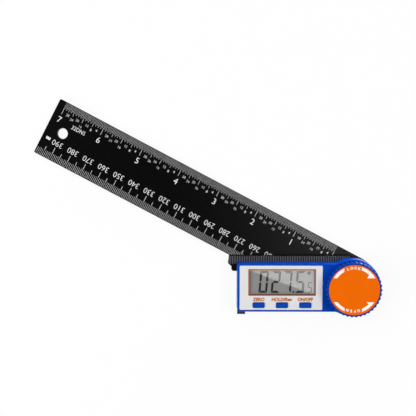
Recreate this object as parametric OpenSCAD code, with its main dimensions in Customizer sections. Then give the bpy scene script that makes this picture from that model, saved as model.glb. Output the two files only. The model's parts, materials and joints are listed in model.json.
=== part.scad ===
/* [Ruler blade] */
// Length from the pivot to the blade's far end
blade_len = 200; // [150:1:300]
// Width of the blade
blade_w = 34.6; // [30:0.1:40]
// Thickness of the blade
blade_t = 2.5; // [2:0.1:4]
// Corner radius at the far end
blade_corner_r = 0.8; // [0.3:0.1:5]
// How far the centre of the round end lies from the pivot, towards the far end
blade_end_shift = 0.9; // [0:0.1:1.5]
// Opening angle between blade and base at rest
rest_angle = 28; // [0:1:180]
// Diameter of the hanging hole
hang_hole_d = 6.2; // [4:0.1:10]
// Distance of the hanging hole from the far end
hang_hole_inset = 10; // [8:0.5:20]

/* [Base plate] */
// Thickness of the base plate
base_t = 2.1; // [1.8:0.1:3]
// How far the printed scale edge lies outside the folded blade's edge
edge_past_blade = 0.8; // [0.4:0.1:2]
// How far the scale lip runs past the housing's end
lip_overrun = 5; // [3:0.1:10]
// Depth of the scale lip at its free end
lip_depth = 6.2; // [5:0.1:7]
// How far the lip's free end leans in at the scale edge
lip_lean = 0.6; // [0:0.1:1.5]
// Cut corner at the lip's free end
lip_chamfer = 1.7; // [0.5:0.1:2.2]
// How far the heel below the lip runs past the housing's end
heel_overrun = 3; // [2.2:0.1:4.5]
// Depth of the heel, measured from the scale edge
heel_depth = 9.2; // [8.5:0.1:14]
// Cut corner at the heel's end
heel_chamfer = 0.9; // [0.3:0.1:1.2]
// Length of the foot tab at the lower edge
tab_len = 4.7; // [3:0.1:12]
// Reach of the foot tab beyond the housing's lower side
tab_reach = 2.3; // [1:0.1:4]
// How far the plate's hidden edge lies inside the housing's edge
base_inset = 0.5; // [0.3:0.1:1]

/* [Housing] */
// Blue border between the panel and the housing's side
bezel = 1.5; // [1.3:0.1:4]
// Blue border between the panel and the housing's end
bezel_end = 1.7; // [1.3:0.1:4]
// Step from the housing's side out to the round lobe
lobe_step = 2.55; // [1.5:0.05:4]
// Blend radius between the housing's side and the lobe
blend_r = 4; // [2:0.1:8]
// Corner radius at the display end
corner_r = 2.2; // [1.3:0.1:4]
// Radius of the rounded front edge
edge_r = 0.8; // [0.3:0.1:0.9]
// Draft of the side walls from plate to front
side_draft = 0.25; // [0:0.05:0.3]
// Thickness of the side walls
wall = 1.5; // [1.2:0.1:2]
// Thickness of the front wall behind the panel
front_wall = 0.9; // [0.7:0.1:2]
// Outer radius of the screw bosses
boss_r = 1.9; // [1.6:0.1:2.2]
// Gap between the display and a screw boss
boss_gap = 0.9; // [0.6:0.1:1]
// How far a screw boss merges into the side wall
boss_merge = 0.4; // [0.2:0.1:0.6]
// Radius of the posts that carry the circuit board
post_r = 1.5; // [1.2:0.1:1.8]
// Gap between the display and a post
post_gap = 0.4; // [0.3:0.1:0.6]

/* [Face panel and display] */
// Width of the display window
window_w = 37.8; // [30:0.1:48]
// Height of the display window
window_h = 14.5; // [12:0.1:18]
// Panel margin left and right of the window
panel_side = 5; // [4.5:0.1:8]
// Panel margin above the window
panel_above = 2.6; // [2:0.1:4]
// Panel margin below the window, which holds the buttons
panel_below = 8.8; // [8:0.1:12]
// Thickness of the face panel
panel_t = 0.5; // [0.3:0.1:1]
// Corner radius of the face panel
panel_corner_r = 0.6; // [0.2:0.1:2]
// Corner radius of the window
window_corner_r = 0.4; // [0.2:0.1:2]
// Gap between the panel and the knob
panel_knob_gap = 1.25; // [1:0.05:3]
// Shift of the window and buttons from the panel's middle towards the pivot
window_shift = 0.6; // [-1:0.05:1]
// Air gap between the display and its lens
lens_gap = 0.15; // [0.1:0.05:0.3]
// Glass border hidden round the window
lcd_border = 1.2; // [0.8:0.1:1.4]
// Thickness of each glass sheet of the display
glass_t = 0.5; // [0.4:0.05:0.8]
// Width of the contact ledge of the display
lcd_ledge = 1.5; // [1.2:0.1:2.5]
// Gap between the circuit board and the display
lcd_gap = 0.65; // [0.5:0.05:1.5]
// Width of the contact strips
zebra_w = 1; // [0.6:0.1:1.2]

/* [Buttons] */
// Width of a button
button_w = 6.8; // [5:0.1:8]
// Height of a button
button_h = 3.2; // [2.5:0.1:4]
// Corner radius of a button
button_corner_r = 0.9; // [0.3:0.1:1.2]
// Pitch of the buttons
button_pitch = 13.5; // [11:0.1:15]
// Distance from the panel's lower edge to the buttons
button_margin = 1.2; // [0.9:0.1:2]
// How far a button stands proud of the panel
button_proud = 0.5; // [0.4:0.05:1]
// Travel of a button
button_travel = 0.3; // [0.2:0.05:0.35]
// Width of the flange that holds a button in
button_flange = 0.6; // [0.4:0.05:0.7]
// Thickness of that flange
flange_t = 0.6; // [0.4:0.05:0.7]
// Radius of a snap dome
dome_r = 2; // [1.5:0.1:2.5]
// Sheet thickness of a snap dome
dome_t = 0.15; // [0.1:0.01:0.2]

/* [Electronics] */
// Thickness of the circuit board
board_t = 0.8; // [0.6:0.1:1.6]
// Gap between the circuit board and the housing wall
board_gap = 0.4; // [0.2:0.1:1]
// Diameter of the coin cell
battery_d = 20; // [16:0.1:22]
// Thickness of the coin cell
battery_t = 2.5; // [1.6:0.1:3.2]
// Distance of the cell's centre from the display's centre
battery_shift = 6; // [2:0.1:7]
// Thickness of the contact sheet
contact_t = 0.2; // [0.15:0.01:0.3]
// Width of the contact sheet
contact_w = 5; // [3:0.1:7]
// Thickness of the battery cover
cover_t = 0.6; // [0.5:0.05:0.9]
// Margin of the battery cover round the cell
cover_margin = 1.2; // [0.8:0.1:2]
// Count of the grip grooves in the cover's back
groove_count = 5; // [3:1:7]
// Width of a grip groove
groove_w = 0.7; // [0.4:0.05:0.9]
// Pitch of the grip grooves
groove_pitch = 1.6; // [1.2:0.1:2]
// Length of a grip groove
groove_len = 10; // [6:0.5:14]
// Depth of a grip groove
groove_depth = 0.2; // [0.1:0.05:0.3]
// Reach of the battery cover's tongue
tongue_len = 1.2; // [0.8:0.1:1.2]
// Width of the battery cover's tongue
tongue_w = 6; // [4:0.1:10]
// Radius of the moulded chip cap
chip_r = 3.2; // [2:0.1:4]
// Height of the moulded chip cap
chip_h = 0.5; // [0.3:0.05:0.6]

/* [Pivot] */
// Radius of the axle
axle_r = 3; // [2.5:0.1:3.5]
// Distance of the axle's flats from its centre
axle_flat = 2.35; // [2:0.05:2.45]
// Radius of the axle's rear head
head_r = 6; // [5:0.1:6.5]
// Thickness of the axle's rear head
head_t = 1.1; // [0.8:0.1:1.2]
// Radius of the hub's sleeve
hub_r = 5; // [4.8:0.1:5.5]
// Radius of the hub's flange
hub_flange_r = 8.2; // [7.5:0.1:10]
// Radius of the hub's keyed end
hub_key_r = 4.3; // [4.1:0.1:4.6]
// Distance of the key's flats from the centre
hub_key_flat = 3.6; // [3.4:0.05:3.9]
// Radius of the encoder's rotor disc
rotor_r = 12.5; // [9:0.1:13]
// Thickness of the encoder's rotor disc
rotor_t = 0.75; // [0.5:0.05:1]
// Gap between the rotor disc and the circuit board
rotor_gap = 0.25; // [0.15:0.05:0.4]
// Gap between the base plate and the rotor disc
rotor_lift = 0.35; // [0.2:0.05:0.6]
// Outer radius of the friction washer
friction_r = 14; // [10:0.1:15]
// Thickness of the friction washer
friction_t = 0.2; // [0.1:0.05:0.5]
// Outer radius of the thrust washer under the knob
thrust_r = 7.5; // [6.5:0.1:9]
// Thickness of the thrust washer
thrust_t = 0.4; // [0.3:0.05:0.5]

/* [Lock knob] */
// Height of the knob
knob_h = 5.85; // [5:0.05:9]
// Side step from the lobe in to the knob's ribs
knob_inset = 1.1; // [0.6:0.1:2]
// Count of the grip ribs
rib_count = 38; // [24:1:60]
// How far a grip rib stands out
rib_depth = 0.6; // [0.3:0.05:0.7]
// Radius of a grip rib
rib_r = 0.75; // [0.6:0.05:0.9]
// Chamfer at the knob's top edge
knob_chamfer = 0.4; // [0.2:0.05:0.5]
// Rim round the coloured disc
disc_rim = 0.9; // [0.6:0.05:1.2]
// Groove between the coloured disc and that rim
disc_groove = 0.15; // [0.05:0.05:0.3]
// Thickness of the coloured disc
disc_t = 0.6; // [0.4:0.1:1]
// Wall of the knob's skirt
skirt_wall = 1.8; // [1.6:0.1:2.5]
// Thickness of the knob's top web
web_t = 1.2; // [0.8:0.1:1.6]
// Corner radius of the six-sided threaded insert
insert_r = 4.6; // [4.2:0.1:5]
// Wall round the threaded insert
insert_wall = 1.6; // [1:0.1:2.5]
// Count of the stiffening webs under the knob
stiffener_count = 6; // [3:1:12]
// Thickness of a stiffening web
stiffener_t = 1; // [0.6:0.1:1.5]

/* [Fasteners and clearances] */
// Shank radius of the small screws
screw_r = 1; // [0.8:0.05:1.1]
// Head radius of the small screws
screw_head_r = 1.8; // [1.5:0.05:1.9]
// Height of the countersunk heads
screw_head_t = 0.9; // [0.7:0.05:1]
// Shank radius of the board screws
board_screw_r = 0.7; // [0.5:0.05:0.8]
// Head radius of the board screws
board_head_r = 1.3; // [1.1:0.05:1.5]
// Head height of the board screws
board_head_t = 0.7; // [0.5:0.05:0.8]
// Width of the cross recess in a screw head
drive_w = 0.4; // [0.3:0.05:0.5]
// Running clearance on a radius
run_clear = 0.05; // [0.03:0.01:0.08]
// Clearance between moving flat faces
face_clear = 0.05; // [0.03:0.01:0.1]
// Clearance of a seated piece
seat_clear = 0.03; // [0.02:0.01:0.05]
// Clearance round a button
button_clear = 0.15; // [0.1:0.01:0.2]
// Clearance between the knob and the housing
knob_clear = 0.15; // [0.1:0.01:0.3]
// Loose clearance where a piece only needs room
loose_clear = 0.3; // [0.2:0.05:0.5]

/* [Hidden] */
$fn = 96;
// Small overlap that makes cuts pass through a face
cut = 0.5;

// Plan sizes, worked outward from the display window and the blade
base_edge_y = blade_w / 2 + edge_past_blade;
panel_w = window_w + 2 * panel_side;
panel_h = panel_above + window_h + panel_below;
housing_half = panel_h / 2 + bezel;
lobe_r = housing_half + lobe_step;
knob_r = lobe_r - knob_inset;
disc_r = knob_r - rib_depth - disc_rim;
panel_x = -(knob_r + panel_knob_gap + panel_w / 2);
housing_left = panel_w / 2 - panel_x + bezel_end;
window_x = panel_x + window_shift;
window_y = panel_h / 2 - panel_above - window_h / 2;
button_y = -panel_h / 2 + button_margin + button_h / 2;
buttons_x = [for (i = [-1:1]) window_x + i * button_pitch];
lcd_w = window_w + 2 * lcd_border;
lcd_h = window_h + 2 * lcd_border;
dome_h = button_travel + dome_t;

// Levels, worked upward from the surface that the blade lies on
head_floor = head_t + face_clear;
base_z = blade_t + friction_t;
plate_top = base_z + base_t;
battery_stack = cover_t + face_clear + battery_t + contact_t;
board_z = max(plate_top + rotor_lift + rotor_t + rotor_gap, base_z + battery_stack);
rotor_z = board_z - rotor_gap - rotor_t;
board_top = board_z + board_t;
lcd_z = board_top + lcd_gap;
ceiling_z = lcd_z + 2 * glass_t;
panel_z = ceiling_z + front_wall;
front_z = panel_z + panel_t;
knob_z = front_z + knob_clear;
knob_top = knob_z + knob_h;
disc_z = knob_top - disc_t;
web_z = disc_z - web_t;
washer_seat = front_z - thrust_t / 2;
thrust_top = washer_seat + thrust_t;
axle_top = web_z - seat_clear;
key_z = board_top + seat_clear;
battery_z = board_z - contact_t - battery_t;
battery_x = panel_x - battery_shift;
cover_left = battery_x - battery_d / 2 - cover_margin;
cover_screw_x = battery_x + battery_d / 2 + cover_margin + screw_head_r;
cover_right = cover_screw_x + screw_head_r + cover_margin;
cover_half = battery_d / 2 + cover_margin;

// Plan places of the bosses and posts, tied to the display's edges
boss_x = lcd_w / 2 + boss_gap + boss_r;
boss_y = housing_half - wall - boss_r + boss_merge;
boss_places = [for (sx = [-1, 1], sy = [-1, 1]) [window_x + sx * boss_x, sy * boss_y]];
post_x = lcd_w / 2 + post_gap + post_r;
post_places = [[window_x - post_x, 0], [window_x + post_x, 0], [window_x + button_pitch / 2, button_y]];

// Steps along the housing's lobe, its blends, and its corners and front edge
lobe_steps = 48;
blend_steps = 8;
edge_steps = 6;

// Points of an arc
function arc(c, r, a0, a1, n) = [for (i = [0:n]) let (a = a0 + (a1 - a0) * i / n) c + r * [cos(a), sin(a)]];

// Housing outline, drawn in by d: lobe, blends and the two corners of the display end
function housing_outline(d) =
    let (h = housing_half - d, r = lobe_r - d, f = blend_r + d, c = corner_r - d,
        left = -housing_left + d,
        bx = -sqrt(pow(lobe_r + blend_r, 2) - pow(housing_half + blend_r, 2)),
        by = housing_half + blend_r,
        turn = atan2(by, bx))
    concat(arc([0, 0], r, -turn, turn, lobe_steps),
        arc([bx, by], f, turn - 180, -90, blend_steps),
        arc([left + c, h - c], c, 90, 180, edge_steps),
        arc([left + c, -h + c], c, 180, 270, edge_steps),
        arc([bx, -by], f, 90, 180 - turn, blend_steps));

// Levels and inward steps of the housing's skin, from the plate to the rounded front edge
skin_rings = concat([[plate_top, 0], [front_z - edge_r, side_draft]],
    [for (i = [1:edge_steps]) let (a = 90 * i / edge_steps)
        [front_z - edge_r + edge_r * sin(a), side_draft + edge_r * (1 - cos(a))]]);

// Closed skin lofted through outlines at the given levels
module housing_skin() {
    rings = [for (ring = skin_rings) [for (p = housing_outline(ring[1])) [p[0], p[1], ring[0]]]];
    n = len(rings[0]);
    m = len(rings);
    sides = [for (i = [0:m - 2], j = [0:n - 1])
        [i * n + j, (i + 1) * n + j, (i + 1) * n + (j + 1) % n, i * n + (j + 1) % n]];
    bottom = [for (j = [0:n - 1]) j];
    top = [for (j = [n - 1:-1:0]) (m - 1) * n + j];
    polyhedron(points = [for (ring = rings, p = ring) p], faces = concat(sides, [bottom, top]));
}

// Rectangle with round corners, centred
module rounded(w, h, r) {
    square([w - 2 * r, h], center = true);
    square([w, h - 2 * r], center = true);
    for (sx = [-1, 1], sy = [-1, 1]) translate([sx * (w / 2 - r), sy * (h / 2 - r)]) circle(r);
}

// Disc with two flats
module double_flat(r, flat) {
    intersection() {
        circle(r);
        square([2 * r + cut, 2 * flat], center = true);
    }
}

// Plan of the housing's inside, drawn in by d from the wall's inner face
module inner_plan(d) {
    inset = wall + d;
    translate([-housing_left + inset, -housing_half + inset])
        square([housing_left - inset, 2 * (housing_half - inset)]);
    circle(lobe_r - inset);
}

// Countersunk screw that points up from level z, with a cross recess
module countersunk_screw(z, tip) {
    difference() {
        union() {
            translate([0, 0, z]) cylinder(h = screw_head_t, r1 = screw_head_r, r2 = screw_r);
            translate([0, 0, z]) cylinder(h = tip - z, r = screw_r);
        }
        for (a = [0, 90]) rotate(a) translate([-screw_r, -drive_w / 2, z - cut])
            cube([2 * screw_r, drive_w, screw_head_t / 2 + cut]);
    }
}

// Hole for that screw in a plate
module countersunk_hole(z, tip) {
    grow = seat_clear;
    translate([0, 0, z]) cylinder(h = screw_head_t, r1 = screw_head_r + grow, r2 = screw_r + grow);
    translate([0, 0, z - cut]) cylinder(h = cut + seat_clear, r = screw_head_r + grow);
    translate([0, 0, z]) cylinder(h = tip - z + cut, r = screw_r + grow);
}

screw_tip = ceiling_z - front_wall;
cover_screw_tip = min(plate_top + screw_r, board_z - contact_t - face_clear);

module long_blade() {
    color("#1b1c1d") rotate(-rest_angle) difference() {
        linear_extrude(blade_t) {
            translate([-blade_len / 2 - blade_w / 4, 0])
                rounded(blade_len - blade_w / 2, blade_w, blade_corner_r);
            translate([-blade_w, -blade_w / 2]) square([blade_w - blade_end_shift, blade_w]);
            translate([-blade_end_shift, 0]) circle(blade_w / 2);
        }
        translate([0, 0, -cut]) cylinder(h = head_floor + cut, r = head_r + loose_clear);
        translate([0, 0, head_floor]) cylinder(h = blade_t, r = hub_flange_r);
        translate([-blade_len + hang_hole_inset, 0, -cut]) cylinder(h = blade_t + 2 * cut, d = hang_hole_d);
    }
}

module blade_hub() {
    color("#b8954a") rotate(-rest_angle) difference() {
        union() {
            translate([0, 0, head_floor]) cylinder(h = blade_t - head_floor, r = hub_flange_r);
            translate([0, 0, blade_t]) cylinder(h = rotor_z - blade_t, r = hub_r);
            translate([0, 0, rotor_z]) linear_extrude(rotor_t) double_flat(hub_key_r, hub_key_flat);
        }
        cylinder(h = board_z, r = axle_r + run_clear);
    }
}

module rotor_disc() {
    color("#2f6b3a") rotate(-rest_angle) translate([0, 0, rotor_z]) linear_extrude(rotor_t) difference() {
        circle(rotor_r);
        double_flat(hub_key_r + seat_clear, hub_key_flat + seat_clear);
    }
}

// Strip along the scale edge that runs past the housing's end, with a leaning end and a cut lower corner
module edge_strip(overrun, depth, lean, chamfer) {
    end = -housing_left - overrun;
    low = base_edge_y - depth;
    polygon([[0, base_edge_y], [end + lean, base_edge_y], [end, low + chamfer],
        [end + chamfer, low], [0, low]]);
}

// Plan of the base plate: hidden field, round end, scale lip, heel and foot tab
module base_plan() {
    field_half = housing_half - base_inset;
    field_left = housing_left - base_inset;
    translate([-field_left, -field_half]) square([field_left, 2 * field_half]);
    circle(lobe_r - base_inset);
    edge_strip(lip_overrun, lip_depth, lip_lean, lip_chamfer);
    edge_strip(heel_overrun, heel_depth, 0, heel_chamfer);
    translate([-field_left, -housing_half - tab_reach]) square([tab_len, tab_reach + base_inset + cut]);
}

module cover_plan(grow) {
    translate([(cover_left + cover_right) / 2, 0])
        rounded(cover_right - cover_left + 2 * grow, 2 * (cover_half + grow), cover_margin);
}

module base_plate() {
    slot_w = tongue_w + 2 * loose_clear;
    color("#202122") difference() {
        translate([0, 0, base_z]) linear_extrude(base_t) base_plan();
        translate([0, 0, base_z - cut]) cylinder(h = base_t + 2 * cut, r = hub_r + run_clear);
        translate([0, 0, base_z - cut]) linear_extrude(cover_t + cut) cover_plan(loose_clear / 2);
        translate([battery_x, 0, base_z]) cylinder(h = base_t + cut, d = battery_d + 2 * loose_clear);
        translate([battery_x, -contact_w / 2 - loose_clear, base_z + cover_t - cut])
            cube([battery_d / 2 + 2 * loose_clear + contact_t, contact_w + 2 * loose_clear, base_t + cut]);
        translate([cover_left - tongue_len - loose_clear, -slot_w / 2, base_z + cover_t - cut])
            cube([2 * tongue_len + loose_clear, slot_w, cover_t + loose_clear + cut]);
        for (p = boss_places) translate(p) countersunk_hole(base_z, plate_top);
        translate([cover_screw_x, 0, 0]) countersunk_hole(base_z, plate_top);
    }
}

module housing() {
    color("#1650b8") difference() {
        union() {
            difference() {
                housing_skin();
                translate([0, 0, plate_top - cut]) linear_extrude(ceiling_z - plate_top + cut) inner_plan(0);
            }
            for (p = boss_places) translate([p[0], p[1], plate_top])
                cylinder(h = ceiling_z - plate_top + front_wall / 2, r = boss_r);
            for (p = post_places) translate([p[0], p[1], board_top])
                cylinder(h = ceiling_z - board_top + front_wall / 2, r = post_r);
            translate([0, 0, key_z]) cylinder(h = ceiling_z - key_z + front_wall / 2, r = hub_r + seat_clear);
        }
        translate([panel_x, 0, panel_z]) linear_extrude(panel_t + cut)
            rounded(panel_w + 2 * seat_clear, panel_h + 2 * seat_clear, panel_corner_r);
        translate([window_x, window_y, ceiling_z - cut]) linear_extrude(front_wall + 2 * cut)
            rounded(window_w + 2 * seat_clear, window_h + 2 * seat_clear, window_corner_r);
        for (x = buttons_x) translate([x, button_y, ceiling_z - cut]) linear_extrude(front_wall + 2 * cut)
            rounded(button_w + 2 * button_clear, button_h + 2 * button_clear, button_corner_r);
        translate([0, 0, key_z - cut]) linear_extrude(front_z - key_z + 2 * cut)
            double_flat(axle_r + run_clear, axle_flat + run_clear);
        translate([0, 0, washer_seat]) cylinder(h = thrust_t, r = thrust_r + run_clear);
        for (p = boss_places) translate([p[0], p[1], plate_top - cut])
            cylinder(h = screw_tip - plate_top + cut + seat_clear, r = screw_r + seat_clear);
        for (p = post_places) translate([p[0], p[1], board_top - cut])
            cylinder(h = ceiling_z - board_top + cut, r = board_screw_r + seat_clear);
    }
}

module face_panel() {
    color("#dcdde2") translate([0, 0, panel_z]) linear_extrude(panel_t) difference() {
        translate([panel_x, 0]) rounded(panel_w, panel_h, panel_corner_r);
        translate([window_x, window_y])
            rounded(window_w + 2 * seat_clear, window_h + 2 * seat_clear, window_corner_r);
        for (x = buttons_x) translate([x, button_y])
            rounded(button_w + 2 * button_clear, button_h + 2 * button_clear, button_corner_r);
    }
}

module display_lens() {
    color("#c9cdc8", 0.4) translate([window_x, window_y, ceiling_z + lens_gap])
        linear_extrude(front_wall + panel_t - lens_gap) rounded(window_w, window_h, window_corner_r);
}

// Two glass sheets, the rear one shorter so that it leaves the contact ledges free
module lcd_glass() {
    color("#a9aca2") {
        translate([window_x - lcd_w / 2, window_y - lcd_h / 2, lcd_z + glass_t])
            cube([lcd_w, lcd_h, glass_t]);
        translate([window_x - lcd_w / 2, window_y - lcd_h / 2 + lcd_ledge, lcd_z])
            cube([lcd_w, lcd_h - 2 * lcd_ledge, glass_t]);
    }
}

module zebra_strips() {
    color("#3a3a3c") for (s = [-1, 1])
        translate([window_x - window_w / 2, window_y + s * (lcd_h - lcd_ledge) / 2 - zebra_w / 2, board_top])
            cube([window_w, zebra_w, lcd_gap + glass_t]);
}

module circuit_board() {
    color("#2e7d46") translate([0, 0, board_z]) linear_extrude(board_t) difference() {
        inner_plan(board_gap);
        circle(axle_r + loose_clear);
        for (p = boss_places) translate(p) circle(boss_r + board_gap);
        for (p = post_places) translate(p) circle(board_screw_r + seat_clear);
    }
}

module chip_cap() {
    color("#151515") translate([panel_x + battery_shift, window_y, board_top])
        cylinder(h = chip_h, r1 = chip_r, r2 = chip_r / 2);
}

module battery() {
    cap_step = contact_t;
    color("#c4c6c8") translate([battery_x, 0, battery_z]) {
        cylinder(h = battery_t - cap_step, d = battery_d);
        translate([0, 0, battery_t - cap_step]) cylinder(h = cap_step, d = battery_d - 2 * cover_margin);
    }
}

// Spring leaf beside the cell with a foot on the circuit board
module positive_contact() {
    leaf_x = battery_x + battery_d / 2 + seat_clear;
    foot = contact_w / 2;
    color("#cfc8b0") {
        translate([leaf_x, -contact_w / 2, battery_z + face_clear])
            cube([contact_t, contact_w, board_z - battery_z - face_clear]);
        translate([leaf_x, -contact_w / 2, board_z - contact_t]) cube([foot, contact_w, contact_t]);
    }
}

module negative_contact() {
    color("#cfc8b0") translate([battery_x, 0, board_z - contact_t])
        linear_extrude(contact_t) rounded(2 * contact_w, contact_w, contact_w / 2 - seat_clear);
}

// Cover flush with the plate's back, with a pad for the cell and a tongue at its far end
module battery_cover() {
    pad_h = battery_z - base_z - cover_t - face_clear;
    color("#2a2b2c") difference() {
        union() {
            translate([0, 0, base_z]) linear_extrude(cover_t) cover_plan(0);
            translate([battery_x, 0, base_z + cover_t - seat_clear])
                cylinder(h = pad_h + seat_clear, d = battery_d - 2 * cover_margin);
            translate([cover_left - tongue_len, -tongue_w / 2, base_z + cover_t - seat_clear])
                cube([2 * tongue_len, tongue_w, cover_t]);
        }
        translate([cover_screw_x, 0, 0]) countersunk_hole(base_z, base_z + cover_t);
        for (i = [1:groove_count]) translate([cover_left + i * groove_pitch, -groove_len / 2, base_z - cut])
            cube([groove_w, groove_len, groove_depth + cut]);
    }
}

module cover_screw() {
    color("#8e9296") translate([cover_screw_x, 0, 0]) countersunk_screw(base_z, cover_screw_tip);
}

module housing_screws() {
    color("#8e9296") for (p = boss_places) translate([p[0], p[1], 0]) countersunk_screw(base_z, screw_tip);
}

module board_screws() {
    color("#8e9296") for (p = post_places) translate([p[0], p[1], board_z]) {
        translate([0, 0, -board_head_t]) cylinder(h = board_head_t, r = board_head_r);
        cylinder(h = ceiling_z - board_z - face_clear, r = board_screw_r);
    }
}

// Axle: flush rear head, round shank, keyed stretch in the housing, plain stretch for the thread
module pivot_axle() {
    color("#9a9da1") {
        cylinder(h = head_t, r = head_r);
        cylinder(h = key_z, r = axle_r);
        translate([0, 0, key_z]) linear_extrude(front_z - key_z) double_flat(axle_r, axle_flat);
        translate([0, 0, front_z]) cylinder(h = axle_top - front_z, r = axle_flat);
    }
}

module friction_washer() {
    color("#e8e6dc") translate([0, 0, blade_t + face_clear])
        linear_extrude(friction_t - face_clear) difference() {
            circle(friction_r);
            circle(hub_r + loose_clear);
        }
}

module thrust_washer() {
    color("#a3a6aa") translate([0, 0, washer_seat]) linear_extrude(thrust_t) difference() {
        circle(thrust_r);
        circle(axle_r + run_clear);
    }
}

// Snap dome pressed from sheet, under one button
module snap_dome(x) {
    color("#c9ccd0") translate([x, button_y, board_top]) rotate_extrude()
        polygon([[0, dome_h - dome_t], [dome_r / 2, dome_h - dome_t], [dome_r - dome_t, 0],
            [dome_r, 0], [dome_r / 2 + dome_t, dome_h], [0, dome_h]]);
}

module zero_dome() { snap_dome(buttons_x[0]); }
module hold_dome() { snap_dome(buttons_x[1]); }
module power_dome() { snap_dome(buttons_x[2]); }

// Push button: key top, holding flange behind the front wall and a stem that ends on the dome
module push_button(x) {
    flange_top = ceiling_z - face_clear;
    stem_end = board_top + dome_h + face_clear;
    color("#173f9c") translate([x, button_y, 0]) {
        translate([0, 0, flange_top - seat_clear])
            linear_extrude(front_z + button_proud - flange_top + seat_clear)
                rounded(button_w, button_h, button_corner_r);
        translate([0, 0, flange_top - flange_t]) linear_extrude(flange_t)
            rounded(button_w + 2 * button_flange, button_h + 2 * button_flange, button_corner_r);
        translate([0, 0, stem_end]) cylinder(h = flange_top - stem_end, r = dome_r / 2);
    }
}

module zero_button() { push_button(buttons_x[0]); }
module hold_button() { push_button(buttons_x[1]); }
module power_button() { push_button(buttons_x[2]); }

// Plan of the ribbed grip
module grip_plan() {
    circle(knob_r - rib_depth);
    for (i = [0:rib_count - 1]) rotate(i * 360 / rib_count)
        translate([knob_r - rib_r, 0]) circle(rib_r, $fn = 24);
}

module lock_knob() {
    skirt_in = knob_r - rib_depth - skirt_wall;
    boss_out = insert_r + insert_wall;
    color("#1448a8") difference() {
        intersection() {
            translate([0, 0, knob_z]) linear_extrude(knob_h) grip_plan();
            translate([0, 0, knob_z]) rotate_extrude() polygon([[0, 0], [knob_r + cut, 0],
                [knob_r + cut, knob_h - knob_chamfer - cut], [knob_r - knob_chamfer, knob_h], [0, knob_h]]);
        }
        translate([0, 0, disc_z]) cylinder(h = disc_t + cut, r = disc_r + disc_groove);
        difference() {
            translate([0, 0, knob_z - cut]) cylinder(h = web_z - knob_z + cut, r = skirt_in);
            translate([0, 0, knob_z + knob_clear]) cylinder(h = knob_h, r = boss_out);
            for (i = [0:stiffener_count - 1]) rotate(i * 360 / stiffener_count)
                translate([0, -stiffener_t / 2, thrust_top + knob_clear]) cube([knob_r, stiffener_t, knob_h]);
        }
        translate([0, 0, knob_z - cut]) cylinder(h = web_z - knob_z + cut, r = insert_r, $fn = 6);
    }
}

module knob_insert() {
    color("#b8954a") translate([0, 0, thrust_top + face_clear]) difference() {
        cylinder(h = web_z - thrust_top - face_clear, r = insert_r - seat_clear, $fn = 6);
        translate([0, 0, -cut]) cylinder(h = knob_h, r = axle_flat + run_clear);
    }
}

module knob_disc() {
    color("#f06a05") translate([0, 0, disc_z]) cylinder(h = disc_t, r = disc_r);
}

long_blade();
blade_hub();
rotor_disc();
base_plate();
housing();
face_panel();
display_lens();
lcd_glass();
zebra_strips();
circuit_board();
chip_cap();
battery();
positive_contact();
negative_contact();
battery_cover();
cover_screw();
housing_screws();
board_screws();
pivot_axle();
friction_washer();
thrust_washer();
zero_dome();
hold_dome();
power_dome();
zero_button();
hold_button();
power_button();
lock_knob();
knob_insert();
knob_disc();
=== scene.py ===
"""Looks of a digital angle gauge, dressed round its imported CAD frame.

Lengths are in mm, and become metres where Blender takes them.
"""
import json
import math

import bmesh
import bpy
from mathutils import Matrix, Vector


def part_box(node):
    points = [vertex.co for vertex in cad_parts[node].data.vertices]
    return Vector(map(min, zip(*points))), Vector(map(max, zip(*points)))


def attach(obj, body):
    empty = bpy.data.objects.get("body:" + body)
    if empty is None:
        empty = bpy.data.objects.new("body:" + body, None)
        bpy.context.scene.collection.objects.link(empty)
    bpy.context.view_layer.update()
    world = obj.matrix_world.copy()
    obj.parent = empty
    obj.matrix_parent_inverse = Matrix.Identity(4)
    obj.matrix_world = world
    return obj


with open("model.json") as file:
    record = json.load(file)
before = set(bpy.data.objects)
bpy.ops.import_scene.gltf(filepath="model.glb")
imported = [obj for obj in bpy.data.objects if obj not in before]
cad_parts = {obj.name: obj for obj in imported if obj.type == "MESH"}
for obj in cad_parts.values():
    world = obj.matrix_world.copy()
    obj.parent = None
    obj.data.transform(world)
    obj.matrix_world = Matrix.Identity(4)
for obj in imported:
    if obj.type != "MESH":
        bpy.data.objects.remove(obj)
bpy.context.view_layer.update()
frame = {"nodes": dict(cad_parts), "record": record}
NODES = frame["nodes"]
MM = 0.001
WHITE = (1, 1, 1, 1)

# Printed ink stands this far over a surface, and starts this far under it
INK = 0.02
INK_SINK = 0.01


def node_box(node):
    """Lowest and highest corner of a CAD node, in mm."""
    low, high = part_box(node)
    return low / MM, high / MM


def linear(red, green, blue):
    """A display colour of 0 to 255 as shaders take it, by the sRGB curve."""
    def one(value):
        value /= 255
        return value / 12.92 if value <= 0.04045 else ((value + 0.055) / 1.055) ** 2.4
    return (one(red), one(green), one(blue), 1.0)


# Node helpers for materials
NOISE_DETAIL = 3.0
NOISE_ROUGH = 0.55
NOISE_LOW, NOISE_HIGH = 0.3, 0.7
EVEN = (1, 1, 1)


def new_material(name):
    """An empty node material with its output node."""
    material = bpy.data.materials.new(name)
    material.use_nodes = True
    tree = material.node_tree
    tree.nodes.clear()
    return material, tree, tree.nodes.new("ShaderNodeOutputMaterial")


def add_node(tree, kind, inputs=None, **settings):
    """A node with its settings, and with each input set to a value or linked to a socket."""
    node = tree.nodes.new(kind)
    for key, value in settings.items():
        setattr(node, key, value)
    for key, value in (inputs or {}).items():
        if isinstance(value, bpy.types.NodeSocket):
            tree.links.new(value, node.inputs[key])
        else:
            node.inputs[key].default_value = value
    return node


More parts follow.
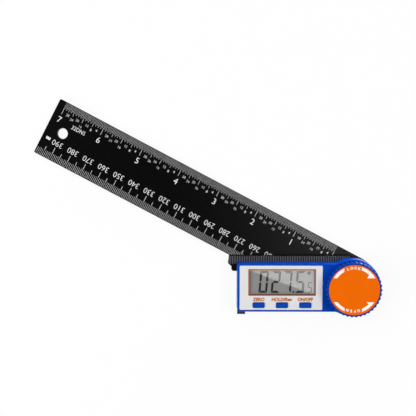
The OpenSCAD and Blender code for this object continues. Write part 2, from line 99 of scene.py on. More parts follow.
def noise(tree, scale, detail=NOISE_DETAIL, stretch=EVEN):
    """A noise value over the object, with scale in waves per metre."""
    place = add_node(tree, "ShaderNodeTexCoord").outputs["Object"]
    if stretch != EVEN:
        inputs = {"Vector": place, "Scale": stretch}
        place = add_node(tree, "ShaderNodeMapping", inputs).outputs["Vector"]
    inputs = {"Vector": place, "Scale": scale, "Detail": detail, "Roughness": NOISE_ROUGH}
    return add_node(tree, "ShaderNodeTexNoise", inputs).outputs["Fac"]


def spread(tree, value, low, high):
    """A noise value spread between two numbers."""
    inputs = {"Value": value, "From Min": NOISE_LOW, "From Max": NOISE_HIGH,
              "To Min": low, "To Max": high}
    return add_node(tree, "ShaderNodeMapRange", inputs).outputs["Result"]


def mottled(tree, colour, amount, scale):
    """A colour whose brightness wanders a little over the surface."""
    value = spread(tree, noise(tree, scale), 1 - amount, 1 + amount)
    inputs = {"Color": colour, "Value": value}
    return add_node(tree, "ShaderNodeHueSaturation", inputs).outputs["Color"]


# Patterns of the finishes: scales in waves per metre, depths in metres, swings of the roughness
PLASTIC_DRIFT = 90
PLASTIC_GLOSS, PLASTIC_SWING = 400, 0.05
GRAIN, GRAIN_DETAIL, GRAIN_DEPTH = 3500, 2.0, 0.00003
METAL_DRIFT, METAL_MOTTLE = 150, 0.05
TOOL_MARKS, TOOL_DETAIL, TOOL_DEPTH = 2500, 4.0, 0.00002
METAL_SWING = 0.08
INK_PATCHES = 900
INK_GLOSS, INK_SWING = 2000, 0.08

# Glassy front of the display film, and the lens over it
COAT_ROUGH = 0.02
COAT_INDEX = 1.7
LENS_INDEX = 1.4
LENS_TINT = (0.98, 0.98, 0.98, 1)
SMUDGES, SMUDGE_LOW, SMUDGE_HIGH = 120, 0.01, 0.03


def plastic(name, colour, rough=0.4, shine=0.5, mottle=0.06, grain=0.15, tint=WHITE, coat=0.0):
    """Moulded plastic: faint colour drift, uneven gloss, fine grain, and a clear coat if set."""
    material, tree, output = new_material(name)
    bump = add_node(tree, "ShaderNodeBump", {
        "Height": noise(tree, GRAIN, GRAIN_DETAIL), "Strength": grain,
        "Distance": GRAIN_DEPTH}).outputs["Normal"]
    gloss = noise(tree, PLASTIC_GLOSS)
    shader = add_node(tree, "ShaderNodeBsdfPrincipled", {
        "Base Color": mottled(tree, colour, mottle, PLASTIC_DRIFT),
        "Roughness": spread(tree, gloss, rough - PLASTIC_SWING, rough + PLASTIC_SWING),
        "Specular IOR Level": shine, "Specular Tint": tint, "Normal": bump,
        "Coat Weight": coat, "Coat Roughness": COAT_ROUGH, "Coat IOR": COAT_INDEX})
    tree.links.new(shader.outputs["BSDF"], output.inputs["Surface"])
    return material


def metal(name, colour, rough=0.3, stretch=EVEN, scratch=0.1):
    """Turned, brushed or plated metal with fine tool marks along one direction."""
    material, tree, output = new_material(name)
    marks = noise(tree, TOOL_MARKS, TOOL_DETAIL, stretch)
    bump = add_node(tree, "ShaderNodeBump", {
        "Height": marks, "Strength": scratch, "Distance": TOOL_DEPTH}).outputs["Normal"]
    shader = add_node(tree, "ShaderNodeBsdfPrincipled", {
        "Base Color": mottled(tree, colour, METAL_MOTTLE, METAL_DRIFT), "Metallic": 1.0,
        "Roughness": spread(tree, marks, rough - METAL_SWING, rough + METAL_SWING),
        "Normal": bump})
    tree.links.new(shader.outputs["BSDF"], output.inputs["Surface"])
    return material


def ink(name, colour, rough=0.5, patch=0.06, shine=0.3, coat=0.0):
    """Printed ink: slightly patchy colour, a dry, uneven gloss, and a clear coat if set."""
    material, tree, output = new_material(name)
    gloss = noise(tree, INK_GLOSS)
    shader = add_node(tree, "ShaderNodeBsdfPrincipled", {
        "Base Color": mottled(tree, colour, patch, INK_PATCHES),
        "Roughness": spread(tree, gloss, rough - INK_SWING, rough + INK_SWING),
        "Specular IOR Level": shine,
        "Coat Weight": coat, "Coat Roughness": COAT_ROUGH, "Coat IOR": COAT_INDEX})
    tree.links.new(shader.outputs["BSDF"], output.inputs["Surface"])
    return material


def clear_lens(name):
    """Clear window: lets light straight through and mirrors by Fresnel, with faint smudges."""
    material, tree, output = new_material(name)
    through = add_node(tree, "ShaderNodeBsdfTransparent", {"Color": LENS_TINT}).outputs["BSDF"]
    smudge = spread(tree, noise(tree, SMUDGES), SMUDGE_LOW, SMUDGE_HIGH)
    mirror = add_node(tree, "ShaderNodeBsdfGlossy", {"Roughness": smudge}).outputs["BSDF"]
    back = add_node(tree, "ShaderNodeNewGeometry").outputs["Backfacing"]
    front = add_node(tree, "ShaderNodeMath", {0: 1.0, 1: back}, operation="SUBTRACT").outputs[0]
    fresnel = add_node(tree, "ShaderNodeFresnel", {"IOR": LENS_INDEX}).outputs["Fac"]
    share = add_node(tree, "ShaderNodeMath", {0: fresnel, 1: front}, operation="MULTIPLY")
    mix = add_node(tree, "ShaderNodeMixShader", {
        "Fac": share.outputs[0], 1: through, 2: mirror}).outputs["Shader"]
    tree.links.new(mix, output.inputs["Surface"])
    return material


# Finishes of the record's slots
BLACK = (0.001, 0.001, 0.001, 1)
BASE_BLACK = (0.003, 0.003, 0.004, 1)
COVER_BLACK = (0.012, 0.012, 0.013, 1)
BLUE_GLOSS = (0.42, 0.74, 1.0, 1)
STEEL = (0.5, 0.51, 0.52, 1)
TURNED = (6, 1, 1)
SLOT_LOOKS = {
    "blade_black": plastic("blade_black", BLACK, rough=0.33, shine=0.04, grain=0.12),
    "base_black": plastic("base_black", BASE_BLACK, rough=0.4, shine=0.1, grain=0.15),
    "cover_black": plastic("cover_black", COVER_BLACK, rough=0.5, shine=0.4, grain=0.4),
    "housing_blue": plastic("housing_blue", linear(0, 61, 168), rough=0.2, shine=0.22,
                            grain=0.04, tint=BLUE_GLOSS),
    "button_blue": plastic("button_blue", linear(10, 66, 168), rough=0.3, shine=0.25,
                           grain=0.05, tint=BLUE_GLOSS),
    "knob_blue": plastic("knob_blue", linear(0, 58, 158), rough=0.17, shine=0.5,
                         grain=0.02, tint=BLUE_GLOSS),
    "disc_orange": plastic("disc_orange", linear(237, 105, 1), rough=0.34, shine=0.04,
                           mottle=0.02, grain=0.03),
    "panel_grey": plastic("panel_grey", linear(222, 222, 223), rough=0.4, shine=0.2,
                          mottle=0.015, grain=0.06),
    "lens_clear": clear_lens("lens_clear"),
    "lcd_grey": plastic("lcd_grey", linear(136, 136, 133), rough=0.3, mottle=0.03, grain=0.02),
    "zebra_rubber": plastic("zebra_rubber", (0.04, 0.04, 0.04, 1), rough=0.7),
    "board_green": plastic("board_green", (0.02, 0.16, 0.05, 1), rough=0.35, mottle=0.1),
    "chip_black": plastic("chip_black", (0.01, 0.01, 0.01, 1), rough=0.25),
    "cell_steel": metal("cell_steel", (0.6, 0.61, 0.62, 1), rough=0.25),
    "contact_steel": metal("contact_steel", (0.62, 0.58, 0.48, 1), rough=0.3),
    "screw_steel": metal("screw_steel", STEEL, rough=0.3),
    "axle_steel": metal("axle_steel", STEEL, rough=0.3, stretch=TURNED),
    "hub_brass": metal("hub_brass", (0.65, 0.45, 0.18, 1), rough=0.3),
    "washer_nylon": plastic("washer_nylon", (0.75, 0.73, 0.66, 1), rough=0.5),
}
WHITE_INK = ink("white_ink", linear(242, 242, 242))
FINE_INK = ink("fine_ink", linear(222, 222, 224))
LIP_INK = ink("lip_ink", linear(128, 128, 134))
COPPER_INK = ink("copper_ink", linear(168, 94, 8), rough=0.4, shine=0.1)
LABEL_INK = ink("label_ink", linear(184, 102, 0), shine=0.05)
KNOB_INK = ink("knob_ink", linear(250, 246, 236))
SEGMENT_INK = ink("segment_ink", linear(8, 8, 9), rough=0.4, coat=1.0)
# Dark ink for a painted shadow along the foot of the display window
PAINTED_SHADOW_INK = ink("painted_shadow_ink", linear(54, 34, 24))
FILM = plastic("lcd_film", linear(149, 148, 146), rough=0.35, shine=0.2, mottle=0.02,
               grain=0.02, coat=1.0)

# Rounding of the edges of each CAD node that shows, in mm
EDGE_DEFAULT = 0.1
BUTTON_EDGE = 0.45
EDGES = {
    "long_blade": 0.15, "base_plate": 0.2, "housing": 0.05, "face_panel": 0.05,
    "lock_knob": 0.16, "knob_disc": 0.05, "display_lens": 0.05,
    "zero_button": BUTTON_EDGE, "hold_button": BUTTON_EDGE, "power_button": BUTTON_EDGE,
}
EDGE_SEGMENTS = 2
SHARP = math.radians(32)
WELD = 0.002


def smoothing_group():
    """Geometry nodes that weld a mesh, shade it smooth and keep its real edges sharp."""
    group = bpy.data.node_groups.new("smooth_shading", "GeometryNodeTree")
    for way in ("INPUT", "OUTPUT"):
        group.interface.new_socket("Geometry", in_out=way, socket_type="NodeSocketGeometry")
    start = group.nodes.new("NodeGroupInput").outputs[0]
    weld = add_node(group, "GeometryNodeMergeByDistance", {
        "Geometry": start, "Distance": WELD * MM})
    smooth = add_node(group, "GeometryNodeSetShadeSmooth", {
        "Geometry": weld.outputs[0], "Shade Smooth": True})
    angle = add_node(group, "GeometryNodeInputMeshEdgeAngle").outputs["Unsigned Angle"]
    is_edge = add_node(group, "FunctionNodeCompare", {0: angle, 1: SHARP},
                       operation="GREATER_THAN")
    edges = add_node(group, "GeometryNodeSetShadeSmooth", {
        "Geometry": smooth.outputs[0], "Selection": is_edge.outputs[0],
        "Shade Smooth": False}, domain="EDGE")
    end = group.nodes.new("NodeGroupOutput")
    group.links.new(edges.outputs[0], end.inputs[0])
    return group


def dress_cad():
    """Gives each CAD node its finish, and rounds its edges so that they catch the light."""
    group = smoothing_group()
    slot_of = {row["node"]: row["material_slot"] for row in frame["record"]["subparts"]}
    for name, piece in NODES.items():
        piece.data.materials.clear()
        piece.data.materials.append(SLOT_LOOKS[slot_of[name]])
        piece.modifiers.new("smooth", "NODES").node_group = group
        bevel = piece.modifiers.new("edges", "BEVEL")
        bevel.width = EDGES.get(name, EDGE_DEFAULT) * MM
        bevel.segments = EDGE_SEGMENTS
        bevel.limit_method = "ANGLE"
        bevel.angle_limit = SHARP
        bevel.use_clamp_overlap = True
        normals = piece.modifiers.new("normals", "WEIGHTED_NORMAL")
        normals.keep_sharp = True


# Flat prints, built as thin raised plates
LETTER_HALF = 0.5
LETTER_STEPS = 3
MERGE = 0.0001


class Print:
    """Gathers flat shapes into one thin raised mesh on a plane of the part."""

    def __init__(self, name, body, level, material, slot=None, origin=(0, 0), turn=0.0):
        self.name, self.body, self.material, self.slot = name, body, material, slot
        self.mesh = bmesh.new()
        self.place = Matrix.Translation((*origin, level)) @ Matrix.Rotation(turn, 4, "Z")

    def shape(self, points):
        """Adds a closed outline as a plate."""
        new = self.mesh.verts.new
        low = [new(self.place @ Vector((x, y, -INK_SINK))) for x, y in points]
        high = [new(self.place @ Vector((x, y, INK))) for x, y in points]
        self.mesh.faces.new(high)
        self.mesh.faces.new(low[::-1])
        count = len(points)
        for i in range(count):
            j = (i + 1) % count
            self.mesh.faces.new((low[i], low[j], high[j], high[i]))

    def bar(self, x0, x1, y0, y1):
        """Adds a straight bar between two corners."""
        self.shape([(x0, y0), (x1, y0), (x1, y1), (x0, y1)])

    def text(self, body, centre, height, width=None, turn=0.0, bold=0.0):
        """Adds lettering in Blender's own font, centred and fitted to a height and a width."""
        curve = bpy.data.curves.new("lettering", "FONT")
        curve.body, curve.offset = body, bold
        curve.extrude, curve.resolution_u = LETTER_HALF, LETTER_STEPS
        holder = bpy.data.objects.new("lettering", curve)
        mesh = bpy.data.meshes.new_from_object(holder)
        xs, ys = [v.co.x for v in mesh.vertices], [v.co.y for v in mesh.vertices]
        size = (max(xs) - min(xs), max(ys) - min(ys))
        grow = height / size[1]
        stretch = width / size[0] if width else grow
        middle = Vector(((max(xs) + min(xs)) / 2, (max(ys) + min(ys)) / 2, 0))
        move = Matrix.Translation((centre[0], centre[1], (INK - INK_SINK) / 2))
        scale = Matrix.Diagonal((stretch, grow, INK + INK_SINK, 1))
        fit = move @ Matrix.Rotation(turn, 4, "Z") @ scale @ Matrix.Translation(-middle)
        mesh.transform(self.place @ fit)
        self.mesh.from_mesh(mesh)
        bpy.data.objects.remove(holder)
        bpy.data.curves.remove(curve)
        bpy.data.meshes.remove(mesh)

    def finish(self):
        """Turns the gathered shapes into one piece that rides on its body."""
        bmesh.ops.remove_doubles(self.mesh, verts=self.mesh.verts, dist=MERGE)
        bmesh.ops.recalc_face_normals(self.mesh, faces=self.mesh.faces)
        bmesh.ops.scale(self.mesh, vec=(MM, MM, MM), verts=self.mesh.verts)
        data = bpy.data.meshes.new(self.name)
        self.mesh.to_mesh(data)
        self.mesh.free()
        data.materials.append(self.material)
        piece = bpy.data.objects.new(self.name, data)
        bpy.context.scene.collection.objects.link(piece)
        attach(piece, self.body)
        return piece


# Scales of the long blade: x runs along it, and a mark at a distance s from the pivot is at -s
REST_ANGLE = math.radians(28)
BLADE_TOP = node_box("long_blade")[1].z
BLADE_HALF = 17.3
INCH = 25.4
INCH_ZERO = 17.72
INCHES = 7
MM_AT_PIVOT = 200
MM_FIRST, MM_LAST = 222, 399
MM_STEP = 10
EDGE_MARGIN = 0.35
TAPER = 0.5

# Inner end and line width of the shortest ticks, and of longer kinds after the step they come at
MM_FINE = (-13.05, 0.138)
MM_TICKS = ((MM_STEP, -9.5, 0.23), (5, -11.0, 0.23))
INCH_PARTS = 32
INCH_FINE = (13.5, 0.117)
INCH_TICKS = ((INCH_PARTS, 9.6, 0.19), (16, 10.7, 0.17), (8, 11.5, 0.15), (2, 12.7, 0.145))

# Lettering of the scales: its size and weight, its row's distance from the blade's middle line,
# and its shift along the blade
MM_NUMERAL = {"height": 3.15, "width": 6.35, "bold": -0.014}
MM_ROW, MM_SHIFT = -6.8, 0.15
MM_WORD = {"height": 1.6, "width": 2.7, "bold": 0.05}
MM_WORD_PLACE = (-196.1, -6.15)
INCH_NUMERAL = {"height": 3.45, "bold": -0.008}
INCH_ROW, INCH_SHIFT = 6.4, 0.3
PARTS_WORD = {"height": 2.35, "width": 8.5, "bold": -0.008}
PARTS_WORD_PLACE = (-182.5, 5.9)
PART_STEP = 4
PART_HEIGHT = 1.4
PART_BOLD = -0.01
PART_ROWS = {16: 8.4, 8: 9.5, 24: 9.5}
PART_ROW = 10.7
SINGLE_SHIFT, DOUBLE_SHIFT = 0.1, 0.33


def blade_print(name, material):
    """A print on the blade's face, in the blade's own directions."""
    return Print(name, "blade_arm", BLADE_TOP, material, turn=-REST_ANGLE)


def tick(lines, x, edge, fine, end, width):
    """One tick from the blade's edge inwards, which widens past the end of the fine ticks."""
    stop, thin = fine[0], fine[1] / 2
    outline = [(x - thin, edge), (x + thin, edge), (x + thin, stop)]
    if end != stop:
        past = stop + math.copysign(TAPER, end - stop)
        left, right = x - width / 2, x + width / 2
        outline += [(right, past), (right, end), (left, end), (left, past)]
    lines.shape(outline + [(x - thin, stop)])


def tick_size(mark, kinds, fine):
    """Inner end and line width of the longest kind of tick that a mark belongs to."""
    return next(((end, width) for step, end, width in kinds if mark % step == 0), fine)


def blade_scales():
    """Millimetre and inch scales with their numerals."""
    edge = BLADE_HALF - EDGE_MARGIN
    ticks = blade_print("millimetre_ticks", FINE_INK)
    for mark in range(MM_FIRST, MM_LAST + 1):
        size = tick_size(mark, MM_TICKS, MM_FINE)
        tick(ticks, MM_AT_PIVOT - mark, -edge, MM_FINE, *size)
    ticks.finish()

    ticks = blade_print("inch_ticks", FINE_INK)
    for mark in range(INCH_PARTS * INCHES + 1):
        x = -INCH_ZERO - mark * INCH / INCH_PARTS
        tick(ticks, x, edge, INCH_FINE, *tick_size(mark, INCH_TICKS, INCH_FINE))
    ticks.finish()

    numerals = blade_print("millimetre_numerals", WHITE_INK)
    first = MM_FIRST + MM_STEP - MM_FIRST % MM_STEP
    for mark in range(first, MM_LAST, MM_STEP):
        centre = (MM_AT_PIVOT - mark + MM_SHIFT, MM_ROW)
        numerals.text(str(mark), centre, turn=math.pi, **MM_NUMERAL)
    numerals.text("mm", MM_WORD_PLACE, turn=math.pi, **MM_WORD)
    numerals.finish()

    numerals = blade_print("inch_numerals", WHITE_INK)
    for mark in range(1, INCHES + 1):
        centre = (-INCH_ZERO - mark * INCH + INCH_SHIFT, INCH_ROW)
        numerals.text(str(mark), centre, **INCH_NUMERAL)
    numerals.text(str(INCH_PARTS) + "DNS", PARTS_WORD_PLACE, **PARTS_WORD)
    small = blade_print("fraction_numerals", FINE_INK)
    for inch in range(INCHES):
        for part in range(PART_STEP, INCH_PARTS, PART_STEP):
            x = -INCH_ZERO - (inch + part / INCH_PARTS) * INCH
            row = PART_ROWS.get(part, PART_ROW)
            if len(str(part)) == 1:
                numerals.text(str(part), (x + SINGLE_SHIFT, row), PART_HEIGHT)
            else:
                small.text(str(part), (x + DOUBLE_SHIFT, row), PART_HEIGHT, bold=PART_BOLD)
    numerals.finish()
    small.finish()


# Scale lines on the base plate's lip and on its foot tab
BASE_LOW, BASE_HIGH = node_box("base_plate")
HOUSING_LOW, HOUSING_HIGH = node_box("housing")
LIP_LEFT, LIP_RIGHT = -71, -1
LIP_LOW, LIP_HIGH = 14.2, 17.8
LIP_END_LOW = 13.1
LIP_LINE = 0.2
LOBE_R = HOUSING_HIGH.y
TAB_LINES = 4
TAB_LINE_LOW, TAB_LINE_HIGH = 0.3, 2.2


def base_scale():
    """Millimetre lines on the lip, longer beside the housing's end, and on the foot tab."""
    lines = Print("base_scale_lines", "base", BASE_HIGH.z, LIP_INK)
    half = LIP_LINE / 2
    for x in range(LIP_LEFT, LIP_RIGHT + 1):
        lobe = math.sqrt(max(LOBE_R ** 2 - x ** 2, 0))
        low = LIP_END_LOW if x < HOUSING_LOW.x else max(LIP_LOW, lobe)
        lines.bar(x - half, x + half, low, LIP_HIGH)
    first = math.ceil(HOUSING_LOW.x) + 1
    low, high = BASE_LOW.y + TAB_LINE_LOW, BASE_LOW.y + TAB_LINE_HIGH
    for x in range(first, first + TAB_LINES):
        lines.bar(x - half, x + half, low, high)
    lines.finish()


# Face of the display housing
LENS_LOW, LENS_HIGH = node_box("display_lens")
PANEL_TOP = node_box("face_panel")[1].z
FRAME_OUT, FRAME_IN = 0.62, 0.1
FRAME_FOOT = 0.52
LABELS = (
    ("ZERO", "zero_button", 6.9),
    ("HOLD/Rev", "hold_button", 11.9),
    ("ON/OFF", "power_button", 9.0),
)
LABEL_Y = -6.78
LABEL_HEIGHT = 2.2
LABEL_BOLD = 0.055


def panel_prints():
    """Copper line round the display window and the words over the buttons."""
    line = Print("window_frame", "base", PANEL_TOP, COPPER_INK)
    left, right = LENS_LOW.x, LENS_HIGH.x
    low, high = LENS_LOW.y, LENS_HIGH.y
    line.bar(left - FRAME_OUT, right + FRAME_OUT, high - FRAME_IN, high + FRAME_OUT)
    line.bar(left - FRAME_OUT, right + FRAME_OUT, low - FRAME_FOOT, low + FRAME_IN)
    line.bar(left - FRAME_OUT, left + FRAME_IN, low + FRAME_IN, high - FRAME_IN)
    line.bar(right - FRAME_IN, right + FRAME_OUT, low + FRAME_IN, high - FRAME_IN)
    line.finish()
    words = Print("button_words", "base", PANEL_TOP, LABEL_INK)
    for word, button, width in LABELS:
        low, high = node_box(button)
        centre = ((low.x + high.x) / 2, LABEL_Y)
        words.text(word, centre, LABEL_HEIGHT, width, bold=LABEL_BOLD)
    words.finish()


# Display: the lit segments of a digit, which go clockwise from a at the top, with g in the middle
LIT = {"0": "abcdef", "2": "abdeg", "5": "acdfg", "7": "abc"}
SLANT = 0.085
SEGMENT_GAP = 0.13
FILM_T = 0.04
READING = "0275"
DIGIT_LEFTS = (-54.05, -46.95, -40.25, -32.9)
DIGIT_W, DIGIT_H, DIGIT_T = 5.05, 12.8, 1.25
DIGIT_BASE = -3.2
SMALL_READING = "5"
SMALL_DIGIT = {"left": -25.75, "base": -3.1, "width": 2.5, "height": 6.2, "stroke": 0.55}
POINT, POINT_HALF = (-33.75, -2.65), 0.52
DEGREE = (-24.78, 8.44)
DEGREE_IN, DEGREE_OUT = 0.32, 1.0
QUARTER_STEPS = 6
# Width of the painted shadow line at the foot of the display window
PAINTED_SHADOW_W = 0.42


def segments(figure, left, base, width, height, stroke):
    """Outlines of a figure's lit segments, slanted as on a display."""
    mid, half, gap = height / 2, stroke / 2, SEGMENT_GAP
    near, far = stroke + gap, width - stroke - gap
    cells = {
        "a": [(gap, height), (width - gap, height), (far, height - stroke),
              (near, height - stroke)],
        "d": [(gap, 0), (near, stroke), (far, stroke), (width - gap, 0)],
        "f": [(0, height - gap), (stroke, height - stroke - gap), (stroke, mid + half + gap),
              (half, mid + gap), (0, mid + half)],
        "e": [(0, gap), (0, mid - half), (half, mid - gap), (stroke, mid - half - gap),
              (stroke, near)],
        "g": [(half + gap, mid), (near, mid + half), (far, mid + half),
              (width - half - gap, mid), (far, mid - half), (near, mid - half)],
    }
    for mine, other in (("b", "f"), ("c", "e")):
        cells[mine] = [(width - x, y) for x, y in reversed(cells[other])]
    for name in LIT[figure]:
        yield [(left + x + y * SLANT, base + y) for x, y in cells[name]]


def ring(centre, inner, outer):
    """Outlines of a ring, as its four quarter bands."""
    def arc(radius, turns):
        return [(centre[0] + radius * math.cos(t), centre[1] + radius * math.sin(t))
                for t in turns]
    for quarter in range(4):
        turns = [math.pi / 2 * (quarter + i / QUARTER_STEPS) for i in range(QUARTER_STEPS + 1)]
        yield arc(outer, turns) + arc(inner, turns[::-1])


def display():
    """Film on the display glass with the lit figures, and a painted shadow line at the lens's
    foot, where the window's recess is in shade.
    """
    low, high = LENS_LOW, LENS_HIGH
    level = node_box("lcd_glass")[1].z
    film = Print("display_film", "base", level + FILM_T - INK, FILM, slot="lcd_grey")
    film.bar(low.x, high.x, low.y, high.y)
    # Painted shadow: a dark line along the lens's lower edge, standing in for the shade of the
    # window's recess
    shadow_print = Print("display_painted_shadow", "base", high.z, PAINTED_SHADOW_INK)
    shadow_print.bar(low.x + FRAME_IN, high.x - FRAME_IN, low.y + FRAME_IN, low.y + PAINTED_SHADOW_W)
    shadow_print.finish()
    figures = Print("display_figures", "base", level + FILM_T, SEGMENT_INK)
    for figure, left in zip(READING, DIGIT_LEFTS):
        for outline in segments(figure, left, DIGIT_BASE, DIGIT_W, DIGIT_H, DIGIT_T):
            figures.shape(outline)
    for outline in segments(SMALL_READING, **SMALL_DIGIT):
        figures.shape(outline)
    x, y = POINT
    figures.bar(x - POINT_HALF, x + POINT_HALF, y - POINT_HALF, y + POINT_HALF)
    for outline in ring(DEGREE, DEGREE_IN, DEGREE_OUT):
        figures.shape(outline)
    return film.finish(), figures.finish()


# Marks on the knob's disc
DISC_TOP = node_box("knob_disc")[1].z
MARK_SHIFT = (-0.15, 0.3)
BAND_IN, BAND_OUT = 11.8, 13.5
BAND_STOP = 6.9
BAND_STEPS = 14
TAIL_START, HEAD_START = 5.6, 4.3
CUT_SHIFT = 0.27
BARB_X, BARB_TURN = 7.2, math.radians(46)
KNOB_WORDS = (("LOCK", math.radians(92.6)), ("OPEN", math.radians(-92.6)))
WORD_R = 12.4
WORD_HEIGHT = 1.55
LETTER_TURN = math.radians(10.0)
WORD_BOLD = 0.045


def band(side, level, start, barb):
    """A curved band in a quarter of the disc, cut straight, with half an arrowhead if barbed."""
    def arc(radius, first, last):
        turns = [first + (last - first) * i / BAND_STEPS for i in range(BAND_STEPS + 1)]
        return [(radius * math.cos(t), radius * math.sin(t)) for t in turns]
    stop = BAND_STOP - level * MARK_SHIFT[1]
    outer = arc(BAND_OUT, math.acos(start / BAND_OUT), math.asin(stop / BAND_OUT))
    inner = arc(BAND_IN, math.asin(stop / BAND_IN), math.acos(start / BAND_IN))
    if barb:
        inner = [(BARB_X, stop)] + arc(BAND_IN, BARB_TURN, math.acos(start / BAND_IN))
    return [(side * x, level * y) for x, y in outer + inner]


def knob_marks():
    """White bands, half arrowheads and the two words for the ways the knob turns."""
    marks = Print("knob_marks", "knob", DISC_TOP, KNOB_INK, origin=MARK_SHIFT)
    for level in (1, -1):
        marks.shape(band(-1, level, TAIL_START + level * CUT_SHIFT, False))
        marks.shape(band(1, level, HEAD_START - level * CUT_SHIFT, True))
    for word, middle in KNOB_WORDS:
        for i, letter in enumerate(word):
            turn = middle - (i - (len(word) - 1) / 2) * LETTER_TURN
            centre = (WORD_R * math.cos(turn), WORD_R * math.sin(turn))
            marks.text(letter, centre, WORD_HEIGHT, turn=turn - math.pi / 2, bold=WORD_BOLD)
    marks.finish()


# Stage: pale floor that rises to a backdrop
FLOOR_LEVEL = -0.3
FLOOR_NEAR, FLOOR_R, FLOOR_RISE, WALL_TOP = 500, 2000, 800, 1800
RISE_STEPS, ROUND_STEPS = 12, 96
FLOOR_MERGE = 0.01
FLOOR_PAINT = (0.93, 0.93, 0.93, 1)
FLOOR_MOTTLE, FLOOR_DRIFT = 0.004, 3
GLOW_SHARE = 0.88


def floor_white():
    """White paint that partly glows to the camera and in reflections, so shadows stay light."""
    material, tree, output = new_material("floor_white")
    colour = mottled(tree, FLOOR_PAINT, FLOOR_MOTTLE, FLOOR_DRIFT)
    paint = add_node(tree, "ShaderNodeBsdfDiffuse", {"Color": colour})
    glow = add_node(tree, "ShaderNodeEmission", {"Color": WHITE, "Strength": 1.0})
    path = add_node(tree, "ShaderNodeLightPath").outputs
    seen = path["Is Camera Ray"]
    for other in ("Is Glossy Ray", "Is Transmission Ray"):
        inputs = {0: seen, 1: path[other]}
        seen = add_node(tree, "ShaderNodeMath", inputs, operation="MAXIMUM").outputs[0]
    share = add_node(tree, "ShaderNodeMath", {0: seen, 1: GLOW_SHARE}, operation="MULTIPLY")
    mix = add_node(tree, "ShaderNodeMixShader", {
        "Fac": share.outputs[0], 1: paint.outputs[0], 2: glow.outputs[0]})
    tree.links.new(mix.outputs[0], output.inputs["Surface"])
    return material


def floor():
    """Pale round floor with a soft rise into a backdrop."""
    profile = [(0, FLOOR_LEVEL), (FLOOR_NEAR, FLOOR_LEVEL), (FLOOR_R, FLOOR_LEVEL)]
    for i in range(1, RISE_STEPS + 1):
        turn = math.pi / 2 * i / RISE_STEPS
        profile.append((FLOOR_R + FLOOR_RISE * math.sin(turn),
                        FLOOR_LEVEL + FLOOR_RISE * (1 - math.cos(turn))))
    profile.append((FLOOR_R + FLOOR_RISE, WALL_TOP))
    mesh = bmesh.new()
    line = [mesh.verts.new((r * MM, 0, z * MM)) for r, z in profile]
    edges = [mesh.edges.new(pair) for pair in zip(line, line[1:])]
    bmesh.ops.spin(mesh, geom=line + edges, cent=(0, 0, 0), axis=(0, 0, 1),
                   angle=2 * math.pi, steps=ROUND_STEPS)
    bmesh.ops.remove_doubles(mesh, verts=mesh.verts, dist=FLOOR_MERGE * MM)
    bmesh.ops.recalc_face_normals(mesh, faces=mesh.faces)
    data = bpy.data.meshes.new("floor")
    mesh.to_mesh(data)
    mesh.free()
    data.polygons.foreach_set("use_smooth", [True] * len(data.polygons))
    data.materials.append(floor_white())
    piece = bpy.data.objects.new("floor", data)
    bpy.context.scene.collection.objects.link(piece)


# Camera, from a fit to the scale marks in the photograph
CAMERA_TARGET = Vector((-83.322, 45.521, 0))
CAMERA_DISTANCE = 363.03
CAMERA_TILT, CAMERA_PAN, CAMERA_ROLL = (math.radians(a) for a in (4.865, 0.820, -0.103))
CAMERA_FOV = math.radians(37.287)
CAMERA_NEAREST = 10


def camera():
    """Camera above the gauge, its field of view fitted across the picture's width."""
    back = Vector((math.sin(CAMERA_PAN) * math.cos(CAMERA_TILT), math.sin(CAMERA_TILT),
                   math.cos(CAMERA_PAN) * math.cos(CAMERA_TILT)))
    right = Vector((0, 1, 0)).cross(back).normalized()
    up = back.cross(right)
    turn = Matrix((right, up, back)).transposed().to_4x4() @ Matrix.Rotation(CAMERA_ROLL, 4, "Z")
    data = bpy.data.cameras.new("camera")
    data.sensor_fit = "HORIZONTAL"
    data.lens = data.sensor_width / 2 / math.tan(CAMERA_FOV / 2)
    data.clip_start = CAMERA_NEAREST * MM
    eye = bpy.data.objects.new("camera", data)
    eye.matrix_world = Matrix.Translation((CAMERA_TARGET + back * CAMERA_DISTANCE) * MM) @ turn
    bpy.context.scene.collection.objects.link(eye)
    bpy.context.scene.camera = eye


# Lamps: place, target, width and height in mm, and watts
WORLD_STRENGTH = 0.13
MIDDLE = (-85, 45, 0)
STRIP = ((740, 1045, 140), (0, 0, 10), (1100, 80))
STUDIO_LAMPS = {
    "top_light": ((-930, 930, 1300), MIDDLE, (1800, 1800), 18.4),
    "left_fill": ((-640, -140, 520), MIDDLE, (500, 500), 2.5),
    "right_fill": ((440, 40, 700), MIDDLE, (320, 320), 2.6),
    "edge_light": (*STRIP, 6),
}

# Lamps that light one node each
NODE_LAMPS = {
    "rib_light": ("lock_knob", (*STRIP, 6)),
    "blade_light": ("long_blade", ((190, -20, 700), MIDDLE, (200, 200), 2.9)),
    "rim_light": ("housing", ((36, 108, 44), (0, 12, 9), (84, 9), 0.055)),
}

# Lamp mirrored in the display: its level, the line on the lens where its picture ends, its depth
# away from that line, its length past the line's ends, and watts
GLARE_LEVEL = 800
GLARE_LINE = ((-59.6, 10.4), (-21.3, -4.5))
GLARE_DEPTH = 60
GLARE_OVERRUN = 1.3
GLARE_WATTS = 0.083


def lamp(name, place, target, size, watts):
    """A soft lamp at a place, aimed at a target."""
    data = bpy.data.lights.new(name, "AREA")
    data.shape, data.energy = "RECTANGLE", watts
    data.size, data.size_y = size[0] * MM, size[1] * MM
    thing = bpy.data.objects.new(name, data)
    thing.location = Vector(place) * MM
    thing.rotation_mode = "QUATERNION"
    thing.rotation_quaternion = (Vector(target) - Vector(place)).to_track_quat("-Z", "Y")
    bpy.context.scene.collection.objects.link(thing)
    return thing


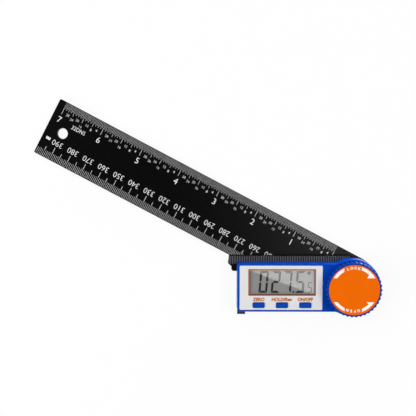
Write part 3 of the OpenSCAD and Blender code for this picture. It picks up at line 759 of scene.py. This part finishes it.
def light_only(light, pieces):
    """Keeps a lamp's light on a few pieces."""
    lit = bpy.data.collections.new(light.name + "_receiver")
    for piece in pieces:
        lit.objects.link(piece)
    light.light_linking.receiver_collection = lit


def window_lamp(pieces):
    """A soft lamp that the display mirrors to the camera, cut off along a slanting line."""
    eye = bpy.context.scene.camera.location / MM
    face = LENS_HIGH.z
    mirrored = Vector((eye.x, eye.y, 2 * face - eye.z))
    ends = []
    for x, y in GLARE_LINE:
        ray = Vector((x, y, face)) - mirrored
        ends.append(mirrored + ray * ((GLARE_LEVEL - mirrored.z) / ray.z))
    edge = ends[1] - ends[0]
    side = Vector((-edge.y, edge.x, 0)).normalized()
    data = bpy.data.lights.new("window_lamp", "AREA")
    data.shape, data.energy = "RECTANGLE", GLARE_WATTS
    data.size, data.size_y = edge.length * GLARE_OVERRUN * MM, GLARE_DEPTH * MM
    thing = bpy.data.objects.new("window_lamp", data)
    middle = (ends[0] + ends[1]) / 2 + side * GLARE_DEPTH / 2
    along, down = edge.normalized(), Vector((0, 0, -1))
    turn = Matrix((along, along.cross(down), -down)).transposed().to_4x4()
    thing.matrix_world = Matrix.Translation(middle * MM) @ turn
    bpy.context.scene.collection.objects.link(thing)
    light_only(thing, pieces)


def lights(shown):
    """Even studio light: a dim world, wide lamps, an edge strip and lamps for single nodes."""
    world = bpy.data.worlds.new("studio")
    bpy.context.scene.world = world
    world.use_nodes = True
    sky = world.node_tree.nodes["Background"]
    sky.inputs["Color"].default_value = WHITE
    sky.inputs["Strength"].default_value = WORLD_STRENGTH
    for name, setting in STUDIO_LAMPS.items():
        lamp(name, *setting)
    for name, (node, setting) in NODE_LAMPS.items():
        light_only(lamp(name, *setting), [NODES[node]])
    window_lamp([NODES["display_lens"], *shown])


def main():
    """Dresses the frame and sets it on its stage."""
    scene = bpy.context.scene
    scene.view_settings.view_transform = "Standard"
    dress_cad()
    blade_scales()
    base_scale()
    panel_prints()
    shown = display()
    knob_marks()
    floor()
    camera()
    lights(shown)


main()
